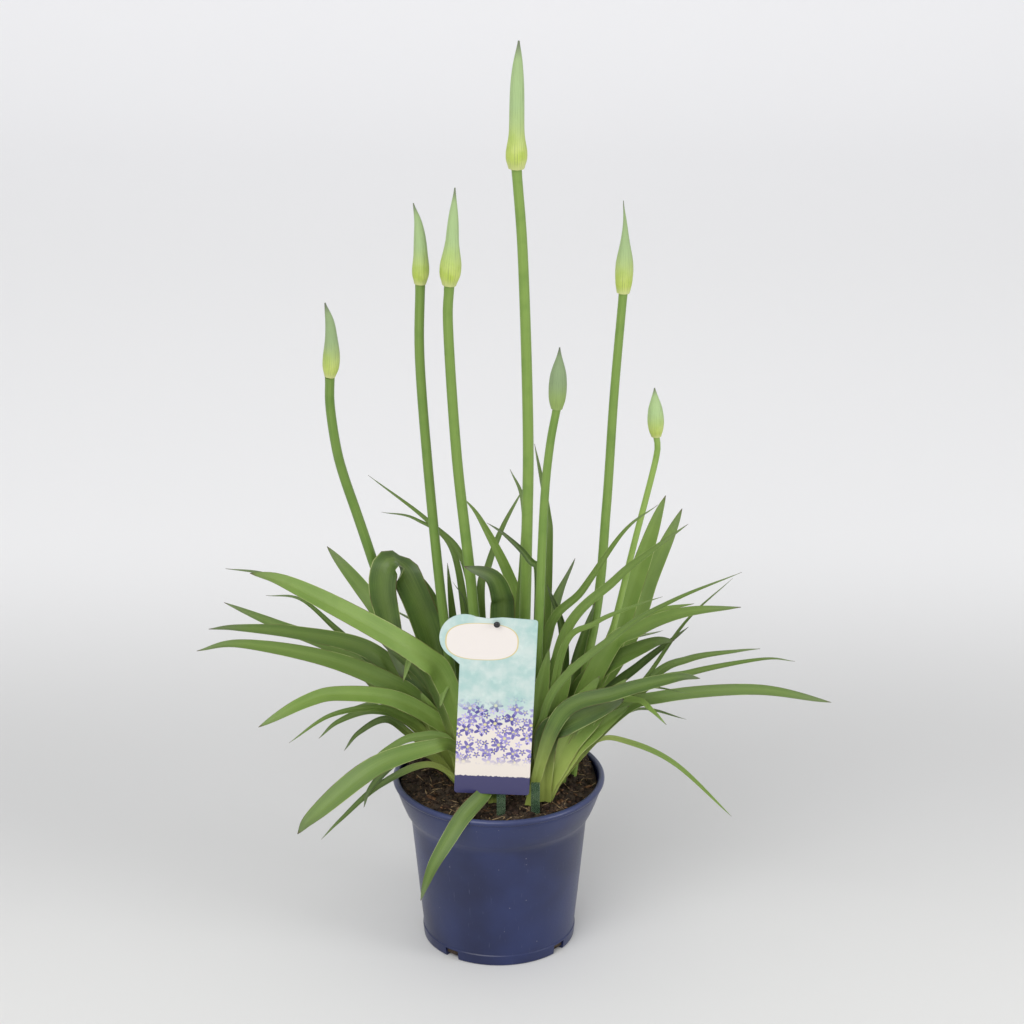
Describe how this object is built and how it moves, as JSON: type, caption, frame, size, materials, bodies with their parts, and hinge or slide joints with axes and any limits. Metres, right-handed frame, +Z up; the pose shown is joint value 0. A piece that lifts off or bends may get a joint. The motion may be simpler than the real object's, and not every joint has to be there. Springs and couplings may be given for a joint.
{
  "type": "potted agapanthus plant",
  "caption": "Agapanthus with strap leaves in arching fans and tall closed flower buds, in a round tapered grower pot with a plant label on a stake.",
  "frame": {"origin": "middle of the pot's flat underside, on the surface that it stands on", "axes": "+Z up along the pot's axis, -Y towards the front, the side that the label faces, +X to the right seen from the front"},
  "size_m": [0.4905, 0.2166, 0.7429],
  "materials": {
    "pot_plastic": "dark slate-blue moulded plastic with a satin sheen",
    "peat": "damp dark peat with pale fibres",
    "leaf_green": "smooth strap leaf with fine lengthwise veins",
    "stem_green": "smooth round stem with a faint bloom",
    "bud_green": "papery bud case, yellow-green at the foot and grey-green at the beak",
    "printed_card": "printed plastic card with a light gloss",
    "clear_stake": "green tinted clear plastic",
    "peg_black": "black moulded plastic"
  },
  "bodies": {
    "root": {"bud_1": "bud_green", "bud_2": "bud_green", "bud_3": "bud_green", "bud_4": "bud_green", "bud_5": "bud_green", "bud_6": "bud_green", "bud_7": "bud_green", "label_card": "printed_card", "label_peg": "peg_black", "label_stake": "clear_stake", "leaf_c01": "leaf_green", "leaf_c02": "leaf_green", "leaf_c03": "leaf_green", "leaf_c04": "leaf_green", "leaf_c05": "leaf_green", "leaf_c06": "leaf_green", "leaf_c07": "leaf_green", "leaf_front": "leaf_green", "leaf_l01": "leaf_green", "leaf_l02": "leaf_green", "leaf_l03": "leaf_green", "leaf_l04": "leaf_green", "leaf_l05": "leaf_green", "leaf_l06": "leaf_green", "leaf_l07": "leaf_green", "leaf_l08": "leaf_green", "leaf_l09": "leaf_green", "leaf_l10": "leaf_green", "leaf_l11": "leaf_green", "leaf_l12": "leaf_green", "leaf_l13": "leaf_green", "leaf_l14": "leaf_green", "leaf_l15": "leaf_green", "leaf_l16": "leaf_green", "leaf_r01": "leaf_green", "leaf_r02": "leaf_green", "leaf_r03": "leaf_green", "leaf_r04": "leaf_green", "leaf_r05": "leaf_green", "leaf_r06": "leaf_green", "leaf_r07": "leaf_green", "leaf_r08": "leaf_green", "leaf_r09": "leaf_green", "leaf_r10": "leaf_green", "leaf_r11": "leaf_green", "leaf_r12": "leaf_green", "leaf_r13": "leaf_green", "leaf_r14": "leaf_green", "leaf_r15": "leaf_green", "leaf_r16": "leaf_green", "pot": "pot_plastic", "side_stake": "clear_stake", "soil": "peat", "stem_1": "stem_green", "stem_2": "stem_green", "stem_3": "stem_green", "stem_4": "stem_green", "stem_5": "stem_green", "stem_6": "stem_green", "stem_7": "stem_green"}
  },
  "joints": []
}
